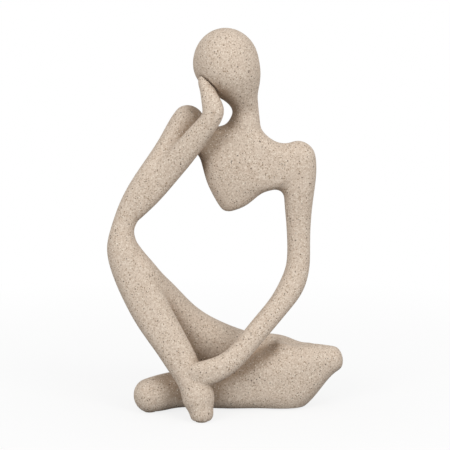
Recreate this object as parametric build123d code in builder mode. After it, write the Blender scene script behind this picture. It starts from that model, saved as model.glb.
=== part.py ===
from build123d import *

import os
from collections import namedtuple
from math import copysign, cos, radians, sin

# Abstract seated thinker, a figure for a shelf or desk, in stone-filled casting resin.
# It is cast in sections, and in each joint a steel dowel and a thin line of glue hold two sections together.
# X runs to the viewer's right, Y runs away from the viewer and Z runs up, all in millimetres.
# Left and right are the figure's own, so its left arm is on the viewer's right.

# Dowels, and the room for glue round them
dowel_diameter = 4.0
dowel_length = 18.0
dowel_chamfer = 0.5
glue_gap = 0.1
hole_end_gap = 0.5

# Where three seams lie on the line between the rings at their two sides
shoulder_seam_share = 0.69
hip_seam_share = 0.1
hand_seam_share = 0.5

# Rubber pads under the figure
pad_diameter = 8.0
pad_thickness = 1.0

# A limb is a loft through rings. A ring has its centre, its size across the limb as seen from the front, its
# size front to back and its fullness: 2 is an ellipse, and more flattens the faces and tightens the corners.
# It stands square to the line through its neighbours, or leans by its own tilt about Y.
Ring = namedtuple("Ring", "place width depth fullness tilt", defaults=(None,))

# Angles from a limb's last ring to its apex, for the rings of a rounded end
dome_angles = (22.0, 42.0, 60.0, 75.0)
outline_step = 30

# Chest, neck and head, from the tip of the chest to the crown
spine_form = {
    "tip": Ring(Vector(4.3, 6.0, 138.4), 14.5, 12.0, 2.2, 0.0),
    "lower_chest": Ring(Vector(5.6, 6.0, 143.0), 24.0, 17.0, 2.4, 4.0),
    "chest": Ring(Vector(6.7, 6.0, 152.0), 38.4, 22.0, 2.6, 11.0),
    "armpits": Ring(Vector(11.5, 6.0, 162.0), 60.0, 25.0, 2.8, 19.0),
    "shoulders": Ring(Vector(17.8, 7.0, 175.0), 84.0, 26.0, 3.0, 17.0),
    "collar": Ring(Vector(11.6, 6.8, 188.5), 45.5, 23.5, 2.5, 12.0),
    "trapezius": Ring(Vector(12.4, 6.5, 193.3), 25.6, 21.5, 2.2, 8.0),
    "neck_root": Ring(Vector(13.6, 6.2, 198.6), 20.2, 20.0, 2.1, 4.0),
    "neck": Ring(Vector(14.0, 6.0, 204.0), 18.0, 20.0, 2.0, 0.0),
    "nape": Ring(Vector(12.6, 5.0, 209.0), 19.7, 24.0, 2.0, -2.0),
    "jaw": Ring(Vector(9.4, 4.0, 214.0), 25.5, 31.0, 2.0, -4.0),
    "cheeks": Ring(Vector(5.8, 3.0, 220.0), 35.0, 39.0, 2.0, -6.0),
    "temples": Ring(Vector(2.8, 2.0, 228.0), 42.5, 45.0, 2.0, -7.0),
    "brow": Ring(Vector(0.8, 2.0, 236.0), 44.5, 46.0, 2.0, -8.0),
}

# Left arm, from the shoulder to the hand on the right ankle
left_arm_form = {
    "shoulder": Ring(Vector(49.8, 7.0, 171.5), 24.0, 23.0, 2.4),
    "armpit": Ring(Vector(50.8, 6.6, 158.5), 22.2, 22.5, 2.5),
    "seam": Ring(Vector(50.4, 6.2, 143.5), 19.5, 19.5, 2.4),
    "upper_arm": Ring(Vector(50.4, 6.0, 128.0), 16.8, 16.5, 2.4),
    "above_elbow": Ring(Vector(50.6, 5.0, 112.5), 15.6, 16.0, 2.4),
    "elbow": Ring(Vector(49.9, 3.0, 98.0), 16.0, 16.5, 2.4),
    "below_elbow": Ring(Vector(45.6, -1.0, 85.3), 16.8, 17.0, 2.4),
    "upper_forearm": Ring(Vector(37.2, -7.0, 73.4), 15.0, 16.0, 2.4),
    "forearm": Ring(Vector(26.6, -14.0, 61.9), 14.6, 15.0, 2.4),
    "lower_forearm": Ring(Vector(15.4, -21.5, 50.0), 14.2, 14.0, 2.4),
    "wrist": Ring(Vector(4.0, -29.0, 39.5), 14.6, 13.5, 2.4),
    "palm": Ring(Vector(-7.5, -34.0, 34.0), 16.5, 12.5, 2.4),
    "fingers": Ring(Vector(-18.5, -35.0, 31.0), 17.0, 11.0, 2.4),
    "fingertips": Ring(Vector(-26.0, -32.5, 29.0), 15.0, 9.0, 2.2),
}

# Right upper arm, elbow, knee, shin and foot, one line from the shoulder to the toes
right_side_form = {
    "shoulder": Ring(Vector(-24.8, 8.0, 198.0), 21.6, 22.0, 2.3),
    "upper_arm": Ring(Vector(-35.0, 4.0, 181.3), 21.2, 22.0, 2.5),
    "middle_arm": Ring(Vector(-46.5, -1.5, 164.7), 20.2, 22.0, 2.6),
    "lower_arm": Ring(Vector(-57.3, -4.0, 149.2), 19.2, 20.5, 2.6),
    "elbow": Ring(Vector(-65.0, -5.5, 136.5), 16.5, 17.0, 2.4),
    "seam": Ring(Vector(-69.0, -7.0, 126.5), 15.5, 16.5, 2.2),
    "knee": Ring(Vector(-69.7, -8.0, 115.0), 20.4, 21.0, 2.3),
    "upper_shin": Ring(Vector(-65.7, -9.5, 101.0), 23.8, 23.0, 2.5),
    "calf": Ring(Vector(-57.5, -12.0, 84.5), 26.0, 24.0, 2.7),
    "shin": Ring(Vector(-47.5, -16.0, 66.5), 25.6, 23.0, 2.8),
    "lower_shin": Ring(Vector(-36.5, -21.0, 49.5), 23.0, 22.0, 2.7),
    "ankle": Ring(Vector(-27.5, -26.0, 35.0), 20.8, 21.0, 2.5),
    "heel": Ring(Vector(-20.8, -31.0, 23.0), 19.8, 20.0, 2.3),
    "foot": Ring(Vector(-17.2, -34.5, 13.5), 21.2, 19.0, 2.2),
    "toes": Ring(Vector(-15.8, -36.5, 6.6), 16.4, 15.5, 2.0),
}

# Right forearm and hand, from the elbow to the fingertips on the cheek
forearm_form = {
    "elbow": Ring(Vector(-62.0, -6.5, 138.0), 15.0, 15.0, 2.4),
    "upper_forearm": Ring(Vector(-51.7, -7.0, 149.9), 18.0, 16.0, 2.6),
    "forearm": Ring(Vector(-38.9, -8.0, 164.5), 18.0, 16.0, 2.6),
    "lower_forearm": Ring(Vector(-26.5, -11.0, 178.5), 16.4, 16.5, 2.5),
    "upper_wrist": Ring(Vector(-16.4, -14.0, 191.0), 14.8, 15.5, 2.4),
    "wrist": Ring(Vector(-10.4, -16.2, 198.6), 13.6, 14.0, 2.4),
    "palm": Ring(Vector(-7.8, -17.2, 205.0), 14.2, 12.5, 2.4),
    "hand": Ring(Vector(-9.6, -15.8, 213.0), 12.2, 11.0, 2.4),
    "fingers": Ring(Vector(-12.7, -12.2, 221.5), 9.0, 9.0, 2.2),
}

# Thighs, one line from the right knee through the hips to the left knee
thigh_form = {
    "right_knee": Ring(Vector(-64.9, -8.0, 112.2), 13.5, 16.0, 2.2),
    "right_upper_thigh": Ring(Vector(-57.2, -8.5, 97.0), 20.0, 25.5, 2.5),
    "right_middle_thigh": Ring(Vector(-51.2, -4.0, 86.0), 23.0, 27.5, 2.5),
    "right_thigh": Ring(Vector(-44.2, 5.0, 74.6), 26.6, 28.0, 2.4),
    "right_hip": Ring(Vector(-28.0, 18.0, 51.4), 33.4, 32.0, 2.3),
    "hip": Ring(Vector(-4.0, 23.0, 32.2), 43.0, 36.0, 2.3),
    "left_hip": Ring(Vector(17.0, 24.0, 22.5), 49.0, 37.0, 2.3),
    "left_thigh": Ring(Vector(46.0, 16.5, 23.7), 43.2, 34.0, 2.4, 84.0),
    "left_knee": Ring(Vector(60.0, 11.0, 27.8), 29.6, 25.0, 2.3, 78.0),
}

# Left shin and foot, from the left knee to the toes
left_shin_form = {
    "knee": Ring(Vector(75.5, 6.5, 32.2), 18.0, 20.0, 2.3, -102.0),
    "upper_shin": Ring(Vector(62.0, 4.0, 27.0), 32.4, 28.0, 2.6, -102.0),
    "upper_calf": Ring(Vector(47.5, 1.0, 20.4), 43.6, 31.0, 2.8, -100.0),
    "calf": Ring(Vector(24.0, -1.0, 18.0), 38.0, 30.0, 2.8, -98.0),
    "shin": Ring(Vector(4.0, -3.5, 15.0), 30.0, 28.0, 2.6),
    "ankle": Ring(Vector(-36.5, -9.0, 13.8), 24.4, 24.0, 2.3),
    "foot": Ring(Vector(-51.5, -12.5, 11.0), 23.4, 23.0, 2.2),
}

# How far each rounded end stands out past its last ring
chest_tip_reach = 2.6
crown_reach = 24.2
shoulder_reach = 12.5
hand_reach = 4.0
right_shoulder_reach = 10.0
toe_reach = 9.0
elbow_reach = 7.0
fingertip_reach = 9.0
right_knee_reach = 7.0
left_thigh_reach = 9.0
left_knee_reach = 6.5
left_toe_reach = 11.0


def ring_planes(rings):
    """The plane of each ring."""
    planes = []
    for number, ring in enumerate(rings):
        before = rings[max(number - 1, 0)].place
        after = rings[min(number + 1, len(rings) - 1)].place
        along = (after - before).normalized()
        across = along.cross(Vector(0, 1, 0))
        if ring.tilt is not None:
            across = Vector(-1, 0, 0).rotate(Axis.Y, ring.tilt)
            along = Vector(0, 1, 0).cross(across)
        planes.append(Plane(ring.place, x_dir=across, z_dir=along))
    return planes


def ring_face(plane, width, depth, fullness):
    """One rounded cross-section, drawn from the plane's own X axis."""
    corners = []
    for angle in range(0, 360, outline_step):
        across = cos(radians(angle))
        back = sin(radians(angle))
        x = copysign(abs(across) ** (2 / fullness), across) * width / 2
        y = copysign(abs(back) ** (2 / fullness), back) * depth / 2
        corners.append((x, y))
    with BuildSketch(plane) as section:
        with BuildLine():
            Spline(corners, periodic=True)
        make_face()
    return section.sketch


def dome(ring, plane, reach, angles):
    """The cross-sections of a rounded end, from its ring to its apex. A negative reach points back."""
    sections = []
    for angle in angles:
        shrink = cos(radians(angle))
        raised = plane.offset(reach * sin(radians(angle)))
        sections.append(ring_face(raised, ring.width * shrink, ring.depth * shrink, ring.fullness))
    return [*sections, Vertex(*plane.offset(reach).origin)]


def limb(form, start_reach, end_reach, start_angles=dome_angles):
    """A smooth solid through a limb's rings, with a rounded end at each side."""
    rings = list(form.values())
    planes = ring_planes(rings)
    start = dome(rings[0], planes[0], -start_reach, start_angles)
    middle = [ring_face(plane, *ring[1:4]) for ring, plane in zip(rings, planes)]
    end = dome(rings[-1], planes[-1], end_reach, dome_angles)
    with BuildPart() as solid:
        loft([*reversed(start), *middle, *end])
    return solid.part


def side_of(solid, seam, keep):
    """The part of a solid on one side of a seam."""
    with BuildPart() as piece:
        add(solid)
        split(bisect_by=seam, keep=keep)
    return piece.part


def seam_between(first, second, share):
    """A flat seam square to the line between two rings, at a share of the way along it."""
    along = second.place - first.place
    return Plane(first.place + along * share, z_dir=along)


def dowel_hole(seam):
    """The hole for a dowel, half of it on each side of the seam."""
    with BuildPart(seam) as hole:
        Cylinder(dowel_diameter / 2 + glue_gap, dowel_length + 2 * hole_end_gap)
    return hole.part


# Whole limbs, before they are cut at the seams
# The left knee's end leaves out the first angle, because it carries on the taper of the shin.
spine_limb = limb(spine_form, chest_tip_reach, crown_reach, start_angles=())
left_arm_limb = limb(left_arm_form, shoulder_reach, hand_reach)
right_side_limb = limb(right_side_form, right_shoulder_reach, toe_reach)
forearm_limb = limb(forearm_form, elbow_reach, fingertip_reach)
thigh_limb = limb(thigh_form, right_knee_reach, left_thigh_reach)
left_shin_limb = limb(left_shin_form, left_knee_reach, left_toe_reach, start_angles=dome_angles[1:])

# Flat seams, each with its Z axis along its dowel
neck_seam = Plane(spine_form["neck"].place)
left_shoulder_seam = Plane(left_arm_form["seam"].place)
elbow_seam = Plane(right_side_form["seam"].place)
right_shoulder_seam = seam_between(spine_form["shoulders"], right_side_form["shoulder"], shoulder_seam_share)
hip_seam = seam_between(thigh_form["hip"], thigh_form["left_hip"], hip_seam_share)
hand_seam = seam_between(left_arm_form["fingers"], left_arm_form["palm"], hand_seam_share)
ground = Plane.XY.offset(pad_thickness)

with BuildPart() as head:
    add(spine_limb)
    split(bisect_by=neck_seam, keep=Keep.TOP)
    add(dowel_hole(neck_seam), mode=Mode.SUBTRACT)

with BuildPart() as torso:
    add(spine_limb)
    split(bisect_by=neck_seam, keep=Keep.BOTTOM)
    add(side_of(right_side_limb, elbow_seam, Keep.TOP))
    split(bisect_by=right_shoulder_seam, keep=Keep.BOTTOM)
    add(side_of(left_arm_limb, left_shoulder_seam, Keep.TOP))
    for seam in (neck_seam, right_shoulder_seam, left_shoulder_seam):
        add(dowel_hole(seam), mode=Mode.SUBTRACT)

with BuildPart() as right_arm:
    add(side_of(right_side_limb, elbow_seam, Keep.TOP))
    add(side_of(spine_limb, neck_seam, Keep.BOTTOM))
    split(bisect_by=right_shoulder_seam, keep=Keep.TOP)
    add(forearm_limb)
    add(head.part, mode=Mode.SUBTRACT)
    add(torso.part, mode=Mode.SUBTRACT)
    for seam in (right_shoulder_seam, elbow_seam):
        add(dowel_hole(seam), mode=Mode.SUBTRACT)

with BuildPart() as left_leg:
    add(side_of(thigh_limb, hip_seam, Keep.TOP))
    add(left_shin_limb)
    split(bisect_by=ground, keep=Keep.TOP)
    add(dowel_hole(hip_seam), mode=Mode.SUBTRACT)

with BuildPart() as right_leg:
    add(side_of(right_side_limb, elbow_seam, Keep.BOTTOM))
    add(side_of(thigh_limb, hip_seam, Keep.BOTTOM))
    add(left_shin_limb, mode=Mode.SUBTRACT)
    split(bisect_by=ground, keep=Keep.TOP)
    for seam in (elbow_seam, hip_seam, hand_seam):
        add(dowel_hole(seam), mode=Mode.SUBTRACT)

with BuildPart() as left_arm:
    add(side_of(left_arm_limb, left_shoulder_seam, Keep.BOTTOM))
    add(right_side_limb, mode=Mode.SUBTRACT)
    add(left_shin_limb, mode=Mode.SUBTRACT)
    for seam in (left_shoulder_seam, hand_seam):
        add(dowel_hole(seam), mode=Mode.SUBTRACT)

# One dowel in each seam
seams = {
    "neck_dowel": neck_seam,
    "right_shoulder_dowel": right_shoulder_seam,
    "left_shoulder_dowel": left_shoulder_seam,
    "elbow_dowel": elbow_seam,
    "hand_dowel": hand_seam,
    "hip_dowel": hip_seam,
}
pieces = {
    "head": head,
    "torso": torso,
    "right_arm": right_arm,
    "left_arm": left_arm,
    "right_leg": right_leg,
    "left_leg": left_leg,
}
for name, seam in seams.items():
    with BuildPart(seam) as dowel:
        Cylinder(dowel_diameter / 2, dowel_length)
        chamfer(dowel.edges().filter_by(GeomType.CIRCLE), dowel_chamfer)
    pieces[name] = dowel

# Rubber pads on the flat places of the underside
right_sole = right_leg.faces().sort_by(Axis.Z)[0]
pad_places = {
    "thigh_pad": thigh_form["left_hip"].place,
    "calf_pad": left_shin_form["calf"].place,
    "left_foot_pad": left_shin_form["foot"].place,
    "right_foot_pad": right_sole.center(),
}
for name, place in pad_places.items():
    with BuildPart(Plane((place.X, place.Y, 0))) as pad:
        Cylinder(pad_diameter / 2, pad_thickness, align=(Align.CENTER, Align.CENTER, Align.MIN))
    pieces[name] = pad

# The middle of the whole figure stands on the origin
figure = Compound([piece.part for piece in pieces.values()])
middle = figure.bounding_box().center()
to_origin = Pos(-middle.X, -middle.Y, 0)

os.makedirs("parts", exist_ok=True)
for name, piece in pieces.items():
    placed = to_origin * piece.part
    placed.label = name
    export_step(placed, f"parts/{name}.step")
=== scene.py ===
# %% [markdown]
# # A seated thinker in sandstone resin
# The real ornament is a slim, faceless figure, a hand and a half tall. It is cast in resin that is filled with
# stone dust and grit, in sections that are pinned, glued and filled, so the finished skin runs on without a seam.
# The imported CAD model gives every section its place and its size. Blender gives the filled joints their soft
# valleys, and the stone its grain. The first step is to load that model and to note its box.

import bmesh
import bpy
import numpy as np
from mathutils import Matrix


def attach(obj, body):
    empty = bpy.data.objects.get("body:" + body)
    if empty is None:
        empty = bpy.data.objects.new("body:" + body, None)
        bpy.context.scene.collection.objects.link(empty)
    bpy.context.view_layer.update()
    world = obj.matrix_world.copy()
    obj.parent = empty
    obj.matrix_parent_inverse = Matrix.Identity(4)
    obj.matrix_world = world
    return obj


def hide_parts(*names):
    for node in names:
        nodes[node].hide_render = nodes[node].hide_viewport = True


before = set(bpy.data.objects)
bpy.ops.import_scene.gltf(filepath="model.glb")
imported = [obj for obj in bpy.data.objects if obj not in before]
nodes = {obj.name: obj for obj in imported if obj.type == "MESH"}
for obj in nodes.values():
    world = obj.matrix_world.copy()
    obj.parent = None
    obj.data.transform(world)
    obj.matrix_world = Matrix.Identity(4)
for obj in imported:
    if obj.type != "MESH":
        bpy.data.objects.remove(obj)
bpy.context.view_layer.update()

import openvdb as vdb
from mathutils import Vector
from mathutils.bvhtree import BVHTree

mm = 0.001
print("CAD nodes:", ", ".join(sorted(nodes)))

# %% [markdown]
# ## Camera
# The ornament stands at eye level and is seen from straight in front and a little above, from almost a metre
# away, so its verticals stay upright. A long lens gives that calm look. The camera comes first, because every
# later choice is judged through it.

# %% Camera
camera_distance = 0.9
camera_rise = np.radians(8.0)
aim = Vector((-1.13, 0.95, 127.08)) * mm

camera = bpy.data.objects.new("camera", bpy.data.cameras.new("camera"))
camera.data.sensor_width = 36.0
camera.data.lens = 105.55
camera.location = aim + camera_distance * Vector((0.0, -np.cos(camera_rise), np.sin(camera_rise)))
camera.rotation_euler = (np.pi / 2 - camera_rise, 0.0, 0.0)
bpy.context.scene.collection.objects.link(camera)
bpy.context.scene.camera = camera
print("camera at", [round(x, 3) for x in camera.location])

# %% [markdown]
# ## The six castings as distances
# A maker fills each joint with putty and rubs it smooth with a fingertip. Rolling a ball along the valley gives
# the same shape: what the ball can't reach is putty. A bevel needs clean edges, which crossing limbs don't have,
# but a lattice of distances to the surface handles any crossing. Points further than the ball's radius are where
# the ball may be, and going the same way back leaves the filled figure.

# %% Read the castings
casting_names = ("head", "torso", "right_arm", "left_arm", "right_leg", "left_leg")


def surface(mesh):
    """The points, in millimetres, and the triangles of a mesh."""
    points = np.empty((len(mesh.vertices), 3), np.float32)
    mesh.vertices.foreach_get("co", points.ravel())
    mesh.calc_loop_triangles()
    triangles = np.empty((len(mesh.loop_triangles), 3), np.int32)
    mesh.loop_triangles.foreach_get("vertices", triangles.ravel())
    return points / mm, triangles


castings = {name: surface(nodes[name].data) for name in casting_names}
starts = np.cumsum([0] + [len(points) for points, _ in castings.values()])
all_points = np.vstack([points for points, _ in castings.values()])
all_triangles = np.vstack([triangles + start for (_, triangles), start in zip(castings.values(), starts)])
print("triangles in the castings:", len(all_triangles))

# %% Roll a ball along the valleys
voxel = 0.6
margin = 12.0
lattice = vdb.createLinearTransform(voxel)
corner = np.floor((all_points.min(0) - margin) / voxel).astype(int)
shape = np.ceil((all_points.max(0) + margin) / voxel).astype(int) - corner + 1
no_quads = np.empty((0, 4), np.int32)


def distances(points, triangles, quads, reach):
    """The lattice of distances to a surface, negative inside it and cut off past the reach."""
    return vdb.FloatGrid.createLevelSetFromPolygons(
        points, triangles=triangles, quads=quads, transform=lattice, halfWidth=reach / voxel
    )


def rounded(radius):
    """Distances to the figure's skin after a ball of this radius has rolled along all its valleys."""
    bare = distances(all_points, all_triangles, no_quads, radius + 3 * voxel)
    swollen = distances(*bare.convertToPolygons(isovalue=radius), radius + 6 * voxel)
    field = np.empty(shape, np.float32)
    swollen.copyToArray(field, ijk=corner.tolist())
    return field + radius


print("lattice of", shape.tolist(), "points,", voxel, "mm apart")

# %% [markdown]
# ## Crisp, soft and broad valleys
# The hands lie on cheek and ankle with a crisp line, and so does the shin on the thigh. At the armpit and at the
# wrist on the chest the limbs flow into each other, and at the left knee thigh and shin are almost one. Three ball
# sizes give these looks, and round patches, which fade out at their rims, say where a larger ball counts.

# %% Mix the three
crisp_radius = 1.0
soft_radius = 6.0
broad_radius = 14.0
soft_places = {
    "left_armpit": ((38.0, 8.0, 165.0), 34.0),
    "wrist_on_chest": ((-10.0, -6.0, 184.0), 18.0),
    "right_shoulder": ((-15.0, 17.0, 185.0), 28.0),
    "upper_arm": ((-38.0, -7.0, 173.0), 22.0),
    "right_elbow": ((-57.0, -13.0, 150.0), 20.0),
    "right_knee": ((-53.0, -15.0, 96.0), 23.0),
    "forearm_on_shin": ((6.0, -18.0, 30.0), 20.0),
    "lap": ((34.0, 4.0, 42.0), 16.0),
}
broad_places = {
    "left_shoulder": ((37.0, 8.0, 188.0), 18.0),
    "right_arm": ((-50.0, -10.0, 158.0), 22.0),
    "left_knee": ((52.0, 8.0, 42.0), 30.0),
}
axes = [(corner[axis] + np.arange(shape[axis])) * voxel for axis in range(3)]


def patches(places):
    """How much a ball counts at each point of the lattice, from 0 to 1."""
    share = np.zeros(shape, np.float32)
    for place, reach in places.values():
        squares = [(values - centre) ** 2 for values, centre in zip(axes, place)]
        away = np.sqrt(squares[0][:, None, None] + squares[1][None, :, None] + squares[2][None, None, :])
        fade = np.clip(1.5 * (1.0 - away / reach), 0.0, 1.0)
        share = np.maximum(share, fade * fade * (3.0 - 2.0 * fade))
    return share


field = rounded(crisp_radius)
for radius, places in ((soft_radius, soft_places), (broad_radius, broad_places)):
    filled = rounded(radius)
    field += patches(places) * (filled - field)
for axis in range(3):
    field[1:-1] = (field[:-2] + 2.0 * field[1:-1] + field[2:]) / 4.0
    field = np.moveaxis(field, 0, 2)
field = np.ascontiguousarray(field)
print("softened:", ", ".join([*soft_places, *broad_places]))

# %% [markdown]
# ## The line along the hand
# Where the hand lies on the cheek, the mould leaves a fine line, which runs out towards the fingertips. Near the
# place where two castings cross, the distances to both are small, so the root of their squares is the distance to
# that crossing. A thin groove is then a matter of one subtraction.

# %% Groove between hand and cheek
groove_radius = 1.6
groove_ends = (218.0, 234.0)


def distance_lattice(name, reach):
    """The distances to one casting, on the same lattice as the skin."""
    values = np.empty(shape, np.float32)
    distances(*castings[name], no_quads, reach).copyToArray(values, ijk=corner.tolist())
    return values


groove_share = np.minimum((groove_ends[1] - axes[2]) / (groove_ends[1] - groove_ends[0]), 1.0)
crossing = np.hypot(distance_lattice("head", 3.0), distance_lattice("right_arm", 3.0))
field = np.maximum(field, groove_radius * groove_share - crossing).astype(np.float32)
print("groove of", groove_radius, "mm, gone at a height of", groove_ends[1], "mm")

# %% Skin of the whole figure
skin_grid = vdb.FloatGrid(margin)
skin_grid.copyFromArray(field, ijk=corner.tolist())
skin_grid.transform = lattice
points, triangles, quads = skin_grid.convertToPolygons(isovalue=0.0)
triangles = np.vstack([triangles, quads[:, [0, 1, 2]], quads[:, [0, 2, 3]]]).astype(np.int64)


def corners_of(points, triangles):
    """The three corner points of every triangle."""
    return points[triangles[:, 0]], points[triangles[:, 1]], points[triangles[:, 2]]


first, second, third = corners_of(points, triangles)
volume = np.einsum("ij,ij->i", first, np.cross(second, third)).sum() / 6
if volume < 0:
    triangles = triangles[:, ::-1]
first, second, third = corners_of(points, triangles)
facing = np.cross(second - first, third - first)
normals = np.stack(
    [
        sum(np.bincount(triangles[:, k], facing[:, axis], len(points)) for k in range(3))
        for axis in range(3)
    ],
    axis=1,
)
normals /= np.linalg.norm(normals, axis=1, keepdims=True)
# How deep each point lies under the broad ball; this depth later sets the painted shade in the hollows
nearest = np.rint(points / voxel).astype(int) - corner
hollow = np.clip(-filled[nearest[:, 0], nearest[:, 1], nearest[:, 2]], 0.0, None)
print("skin:", len(points), "points,", len(triangles), "triangles,", round(abs(volume) / 1000, 1), "cm3")
print("deepest hollow under the broad ball:", round(float(hollow.max()), 1), "mm")

# %% [markdown]
# ## Back to six sections
# The ornament is put together from six castings, so the skin is cut back into six pieces. Each point belongs to
# the casting that it is nearest to. The cut runs through the triangles along the line where two castings are
# equally near, so the edges of neighbours meet exactly, and each keeps the normals of the uncut skin: the joint
# is there, but it doesn't show, as on a filled and rubbed joint.

# %% Distance of each skin point to each casting
near = 12.0


def distance_to(name):
    """How far each skin point is from one casting, in millimetres."""
    casting_points, casting_triangles = castings[name]
    tree = BVHTree.FromPolygons(casting_points.tolist(), casting_triangles.tolist())
    inside = np.all((points > casting_points.min(0) - near) & (points < casting_points.max(0) + near), axis=1)
    far = np.full(len(points), 10 * near)
    far[inside] = [tree.find_nearest(point)[3] for point in points[inside].tolist()]
    return far


spans = np.stack([distance_to(name) for name in casting_names], axis=1)
owners = np.bincount(spans.argmin(1), minlength=len(casting_names))
print("points nearest to:", dict(zip(casting_names, owners.tolist())))

# %% Cut the skin
point_data = np.hstack([points, normals, spans, hollow[:, None]])


def cut(point_data, triangles, side):
    """Splits triangles where side is zero. Returns all points, and the triangles of both sides."""
    above = side > 0
    count = above[triangles].sum(1)
    crossed = triangles[(count == 1) | (count == 2)]
    lone = (above[crossed] == (above[crossed].sum(1) == 1)[:, None]).argmax(1)
    rows = np.arange(len(crossed))
    tip, left, right = (crossed[rows, (lone + k) % 3] for k in range(3))
    pairs = np.sort(np.vstack([np.stack([tip, left], 1), np.stack([tip, right], 1)]), axis=1)
    edges, places = np.unique(pairs, axis=0, return_inverse=True)
    places = places.ravel()
    share = side[edges[:, 0]] / (side[edges[:, 0]] - side[edges[:, 1]])
    added = point_data[edges[:, 0]] + share[:, None] * (point_data[edges[:, 1]] - point_data[edges[:, 0]])
    on_left = places[: len(crossed)] + len(point_data)
    on_right = places[len(crossed) :] + len(point_data)
    tips = np.stack([tip, on_left, on_right], 1)
    rests = np.vstack([np.stack([on_left, left, right], 1), np.stack([on_left, right, on_right], 1)])
    tip_above = above[tip]
    upper = np.vstack([triangles[count == 3], tips[tip_above], rests[np.tile(~tip_above, 2)]])
    lower = np.vstack([triangles[count == 0], tips[~tip_above], rests[np.tile(tip_above, 2)]])
    return np.vstack([point_data, added]), upper, lower


sections = {}
rest = triangles
for number, name in enumerate(casting_names[:-1]):
    own = point_data[:, 6 + number]
    others = point_data[:, 7 + number : -1].min(1)
    point_data, rest, sections[name] = cut(point_data, rest, own - others + 1e-6)
sections[casting_names[-1]] = rest
print("triangles in the sections:", {name: len(faces) for name, faces in sections.items()})

# %% Close the sections
def closed_piece(name, triangles):
    """One casting: its share of the skin, and a cap over each of its seats."""
    used, faces = np.unique(triangles, return_inverse=True)
    mesh = bpy.data.meshes.new(name + "_stone")
    mesh.from_pydata((point_data[used, :3] * mm).tolist(), [], faces.reshape(-1, 3).tolist())
    skin_faces = len(mesh.polygons)
    form = bmesh.new()
    form.from_mesh(mesh)
    rims = [edge for edge in form.edges if edge.is_boundary]
    caps = bmesh.ops.holes_fill(form, edges=rims, sides=0)["faces"]
    bmesh.ops.triangulate(form, faces=caps)
    open_edges = sum(not edge.is_manifold for edge in form.edges)
    form.to_mesh(mesh)
    form.free()
    mesh.shade_smooth()
    corners = np.empty(len(mesh.loops), np.int32)
    mesh.loops.foreach_get("vertex_index", corners)
    looks = point_data[used, 3:6][corners]
    for cap in mesh.polygons[skin_faces:]:
        looks[list(cap.loop_indices)] = cap.normal
    mesh.normals_split_custom_set(looks.tolist())
    # Each point keeps its depth under the broad ball, which sets the painted shade in the hollows
    depths = mesh.attributes.new("hollow", "FLOAT", "POINT")
    depths.data.foreach_set("value", point_data[used, -1])
    piece = bpy.data.objects.new(mesh.name, mesh)
    bpy.context.scene.collection.objects.link(piece)
    cap_faces = len(mesh.polygons) - skin_faces
    print(name, "skin", skin_faces, "caps", cap_faces, "rims", len(rims), "open", open_edges)
    return piece


pieces = {name: closed_piece(name, triangles) for name, triangles in sections.items()}

# %% [markdown]
# ## Colours and nodes
# Colours are written as a paint chart gives them, in sRGB hex, and Blender mixes light in linear values, so one
# function turns the one into the other. One more function adds a node, sets it and links it.

# %% Helpers for materials
def colour(chart):
    """A linear colour from its sRGB hex value."""
    values = [int(chart[k : k + 2], 16) / 255 for k in (0, 2, 4)]
    return [v / 12.92 if v <= 0.04045 else ((v + 0.055) / 1.055) ** 2.4 for v in values] + [1.0]


def node(tree, kind, settings, inputs):
    """Adds a node. Each input is a value, or another node's output to link to it."""
    new = tree.nodes.new(kind)
    for key, value in settings.items():
        setattr(new, key, value)
    for key, value in inputs.items():
        if isinstance(value, bpy.types.NodeSocket):
            tree.links.new(value, new.inputs[key])
        else:
            new.inputs[key].default_value = value
    return new


def blank_material(name):
    """A new material with only its output, and its tree."""
    material = bpy.data.materials.new(name)
    material.use_nodes = True
    material.node_tree.nodes.clear()
    return material, material.node_tree


def per_mm(size):
    """The scale of a pattern whose features are this many millimetres across."""
    return 1.0 / (size * mm)


print("helpers for materials are ready")

# %% [markdown]
# ## Sandstone resin
# The casting mix is polyester resin with stone dust, which gives the warm beige body, and crushed grit of a few
# kinds: nearly black, brown and cream grains up to a millimetre across. The skin is rubbed matt after
# casting, so grains are cut flush and the gloss is broken. A picture of stone would stretch over the limbs, so
# the grains are small balls scattered in space, and the skin cuts through them, as it does in the real mix.

# %% Sandstone resin
stone, tree = blank_material("sandstone_resin")
place = node(tree, "ShaderNodeTexCoord", {}, {}).outputs["Object"]
wobble = node(
    tree, "ShaderNodeTexNoise", {}, {"Vector": place, "Scale": per_mm(0.9), "Detail": 2.0, "Roughness": 0.6}
).outputs["Color"]
wobble = node(
    tree, "ShaderNodeVectorMath", {"operation": "SUBTRACT"}, {0: wobble, 1: (0.5, 0.5, 0.5)}
).outputs[0]
wobble = node(
    tree, "ShaderNodeVectorMath", {"operation": "SCALE"}, {0: wobble, "Scale": 0.9 * mm}
).outputs[0]
uneven_place = node(
    tree, "ShaderNodeVectorMath", {"operation": "ADD"}, {0: place, 1: wobble}
).outputs[0]

clouds = node(
    tree, "ShaderNodeTexNoise", {}, {"Vector": place, "Scale": per_mm(16.0), "Detail": 3.0, "Roughness": 0.55}
).outputs["Fac"]
dust = node(
    tree, "ShaderNodeTexNoise", {}, {"Vector": place, "Scale": per_mm(1.2), "Detail": 4.0, "Roughness": 0.75}
).outputs["Fac"]
cloud_tone = node(
    tree, "ShaderNodeMapRange", {}, {"Value": clouds, "From Min": 0.3, "From Max": 0.7}
).outputs["Result"]
dust_tone = node(
    tree, "ShaderNodeMapRange", {}, {"Value": dust, "From Min": 0.36, "From Max": 0.64}
).outputs["Result"]
body = node(
    tree,
    "ShaderNodeMix",
    {"data_type": "RGBA"},
    {0: cloud_tone, 6: colour("CFBCA9"), 7: colour("D8C6B4")},
).outputs[2]
dusty = node(
    tree, "ShaderNodeMix", {"data_type": "RGBA"}, {0: dust_tone, 6: colour("B7A28E"), 7: colour("E8DACA")}
).outputs[2]
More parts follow.
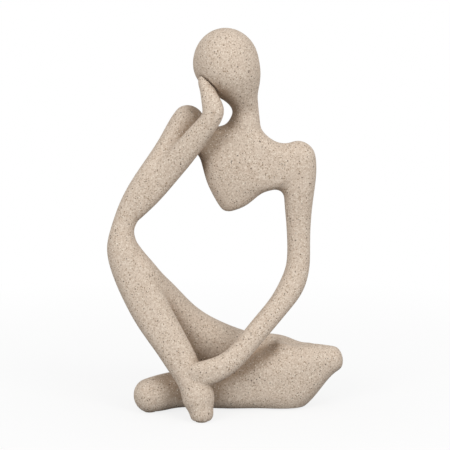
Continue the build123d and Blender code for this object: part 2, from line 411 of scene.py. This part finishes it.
body = node(tree, "ShaderNodeMix", {"data_type": "RGBA"}, {0: 0.8, 6: body, 7: dusty}).outputs[2]

# Painted shade: the hollows are darkened towards a warm brown by how deep they lie under the broad ball, standing
# in for the shade that falls in them
hollow_depth = node(tree, "ShaderNodeAttribute", {"attribute_name": "hollow"}, {}).outputs["Fac"]
painted_shade = node(
    tree, "ShaderNodeMapRange", {}, {"Value": hollow_depth, "From Max": 3.6, "To Max": 0.58}
).outputs["Result"]
body = node(tree, "ShaderNodeMix", {"data_type": "RGBA"}, {0: painted_shade, 6: body, 7: colour("8A6F54")}).outputs[2]

# For each grain: its colour, its spacing and largest radius in millimetres, and the share of places that hold one
grains = {
    "cream": ("EFE6D6", 1.2, 0.40, 0.50),
    "brown": ("8F785F", 1.25, 0.46, 0.55),
    "black": ("4F4136", 1.9, 0.52, 0.36),
}
height = dust
for seed, (chart, spacing, radius, share) in enumerate(grains.values()):
    shifted = node(
        tree, "ShaderNodeVectorMath", {"operation": "ADD"}, {0: uneven_place, 1: (0.37 * seed, 0.11 * seed, 0.0)}
    ).outputs[0]
    cells = node(tree, "ShaderNodeTexVoronoi", {}, {"Vector": shifted, "Scale": per_mm(spacing)})
    chance = node(tree, "ShaderNodeSeparateColor", {}, {0: cells.outputs["Color"]}).outputs
    held = node(tree, "ShaderNodeMath", {"operation": "LESS_THAN"}, {0: chance[0], 1: share}).outputs[0]
    size = node(
        tree,
        "ShaderNodeMapRange",
        {},
        {"Value": chance[1], "To Min": 0.5 * radius / spacing, "To Max": radius / spacing},
    ).outputs["Result"]
    depth = node(
        tree, "ShaderNodeMath", {"operation": "SUBTRACT"}, {0: size, 1: cells.outputs["Distance"]}
    ).outputs[0]
    grain = node(
        tree, "ShaderNodeMapRange", {}, {"Value": depth, "From Min": -0.04, "From Max": 0.06}
    ).outputs["Result"]
    grain = node(tree, "ShaderNodeMath", {"operation": "MULTIPLY"}, {0: grain, 1: held}).outputs[0]
    grain = node(tree, "ShaderNodeMath", {"operation": "MULTIPLY"}, {0: grain, 1: 0.85}).outputs[0]
    body = node(
        tree, "ShaderNodeMix", {"data_type": "RGBA"}, {0: grain, 6: body, 7: colour(chart)}
    ).outputs[2]
    height = node(
        tree, "ShaderNodeMath", {"operation": "MULTIPLY_ADD"}, {0: grain, 1: 0.5, 2: height}
    ).outputs[0]

gloss = node(
    tree, "ShaderNodeMapRange", {}, {"Value": height, "From Max": 1.5, "To Min": 0.92, "To Max": 0.72}
).outputs["Result"]
relief = node(
    tree, "ShaderNodeBump", {}, {"Strength": 0.5, "Distance": 0.12 * mm, "Height": height}
).outputs["Normal"]
shader = node(
    tree,
    "ShaderNodeBsdfPrincipled",
    {},
    {"Base Color": body, "Roughness": gloss, "Normal": relief, "IOR": 1.5, "Specular IOR Level": 0.35},
)
node(tree, "ShaderNodeOutputMaterial", {}, {"Surface": shader.outputs[0]})
print("stone:", len(tree.nodes), "nodes, grains:", ", ".join(grains))

# %% Dress the castings
for name, piece in pieces.items():
    piece.data.materials.append(stone)
    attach(piece, "root")
    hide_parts(name)
print("castings dressed:", ", ".join(pieces))

# %% [markdown]
# ## Dowels and pads
# Inside the joints sit short rods of bright drawn steel, and under the figure small pads keep the stone off the
# shelf. Their CAD solids already have the right shape, so they only get their materials.

# %% Drawn steel
steel, tree = blank_material("drawn_steel")
place = node(tree, "ShaderNodeTexCoord", {}, {}).outputs["Object"]
streaks = node(
    tree, "ShaderNodeTexNoise", {}, {"Vector": place, "Scale": per_mm(0.4), "Detail": 3.0, "Roughness": 0.6}
).outputs["Fac"]
gloss = node(
    tree, "ShaderNodeMapRange", {}, {"Value": streaks, "To Min": 0.22, "To Max": 0.42}
).outputs["Result"]
relief = node(
    tree, "ShaderNodeBump", {}, {"Strength": 0.2, "Distance": 0.02 * mm, "Height": streaks}
).outputs["Normal"]
shader = node(
    tree,
    "ShaderNodeBsdfPrincipled",
    {},
    {"Base Color": colour("B9B7B2"), "Metallic": 1.0, "Roughness": gloss, "Normal": relief},
)
node(tree, "ShaderNodeOutputMaterial", {}, {"Surface": shader.outputs[0]})
dowels = [part for name, part in nodes.items() if name.endswith("_dowel")]
for dowel in dowels:
    dowel.material_slots[0].material = steel
print("steel dowels:", len(dowels))

# %% Pad rubber
rubber, tree = blank_material("pad_rubber")
place = node(tree, "ShaderNodeTexCoord", {}, {}).outputs["Object"]
pores = node(
    tree, "ShaderNodeTexNoise", {}, {"Vector": place, "Scale": per_mm(0.5), "Detail": 3.0, "Roughness": 0.6}
).outputs["Fac"]
tone = node(
    tree, "ShaderNodeMix", {"data_type": "RGBA"}, {0: pores, 6: colour("A8967E"), 7: colour("BCAB94")}
).outputs[2]
relief = node(
    tree, "ShaderNodeBump", {}, {"Strength": 0.4, "Distance": 0.05 * mm, "Height": pores}
).outputs["Normal"]
shader = node(
    tree, "ShaderNodeBsdfPrincipled", {}, {"Base Color": tone, "Roughness": 0.85, "Normal": relief}
)
node(tree, "ShaderNodeOutputMaterial", {}, {"Surface": shader.outputs[0]})
pads = [part for name, part in nodes.items() if name.endswith("_pad")]
for pad in pads:
    pad.material_slots[0].material = rubber
print("pads:", len(pads))

# %% [markdown]
# ## Floor, light and surroundings
# The ornament is shown on white, as in a shop's picture, under broad soft light from the front. The floor is
# white by itself for the camera, and still takes the figure's faint shadow. The lamps stay at a plain level, at
# which a colour renders about as it is written.

# %% Floor
floor_half = 3.0
floor_mesh = bpy.data.meshes.new("floor")
floor_mesh.from_pydata(
    [(x * floor_half, y * floor_half, 0.0) for x, y in ((-1, -1), (1, -1), (1, 1), (-1, 1))], [], [(0, 1, 2, 3)]
)
floor = bpy.data.objects.new("floor", floor_mesh)
bpy.context.scene.collection.objects.link(floor)
paper, tree = blank_material("white_paper")
place = node(tree, "ShaderNodeTexCoord", {}, {}).outputs["Object"]
away = node(tree, "ShaderNodeVectorMath", {"operation": "LENGTH"}, {0: place}).outputs["Value"]
glow_share = node(
    tree, "ShaderNodeMapRange", {}, {"Value": away, "From Min": 0.1, "From Max": 0.5, "To Min": 0.82, "To Max": 1.0}
).outputs["Result"]
seen = node(tree, "ShaderNodeLightPath", {}, {}).outputs["Is Camera Ray"]
glow_share = node(tree, "ShaderNodeMath", {"operation": "MULTIPLY"}, {0: seen, 1: glow_share}).outputs[0]
tone = node(
    tree, "ShaderNodeMix", {"data_type": "RGBA"}, {0: seen, 6: colour("888888"), 7: colour("F6F6F6")}
).outputs[2]
lit = node(tree, "ShaderNodeBsdfDiffuse", {}, {"Color": tone}).outputs[0]
glow = node(tree, "ShaderNodeEmission", {}, {"Strength": 1.0}).outputs[0]
mixed = node(tree, "ShaderNodeMixShader", {}, {0: glow_share, 1: lit, 2: glow}).outputs[0]
node(tree, "ShaderNodeOutputMaterial", {}, {"Surface": mixed})
floor_mesh.materials.append(paper)
print("floor:", 2 * floor_half, "m across")

# %% Light
world = bpy.data.worlds.new("white_room")
bpy.context.scene.world = world
world.use_nodes = True
world.node_tree.nodes.clear()
tree = world.node_tree
rays = node(tree, "ShaderNodeLightPath", {}, {}).outputs
seen = node(
    tree, "ShaderNodeMath", {"operation": "MAXIMUM"}, {0: rays["Is Camera Ray"], 1: rays["Is Glossy Ray"]}
).outputs[0]
seen = node(
    tree, "ShaderNodeMath", {"operation": "MAXIMUM"}, {0: seen, 1: rays["Is Transmission Ray"]}
).outputs[0]
strength = node(
    tree, "ShaderNodeMapRange", {}, {"Value": seen, "To Min": 0.61, "To Max": 1.0}
).outputs["Result"]
background = node(
    tree, "ShaderNodeBackground", {}, {"Color": (1.0, 1.0, 1.0, 1.0), "Strength": strength}
).outputs[0]
node(tree, "ShaderNodeOutputWorld", {}, {"Surface": background})

softboxes = {
    "key_softbox": ((0.8, -0.9, 0.6), 0.6, 6.5),
    "fill_softbox": ((-0.7, -1.0, 0.6), 0.6, 6.0),
}
for name, (place, size, watts) in softboxes.items():
    lamp = bpy.data.lights.new(name, "AREA")
    lamp.size = size
    lamp.energy = watts
    softbox = bpy.data.objects.new(name, lamp)
    softbox.location = place
    softbox.rotation_euler = (aim - Vector(place)).to_track_quat("-Z", "Y").to_euler()
    bpy.context.scene.collection.objects.link(softbox)
bpy.context.scene.view_settings.view_transform = "Standard"
print("softboxes:", ", ".join(softboxes))
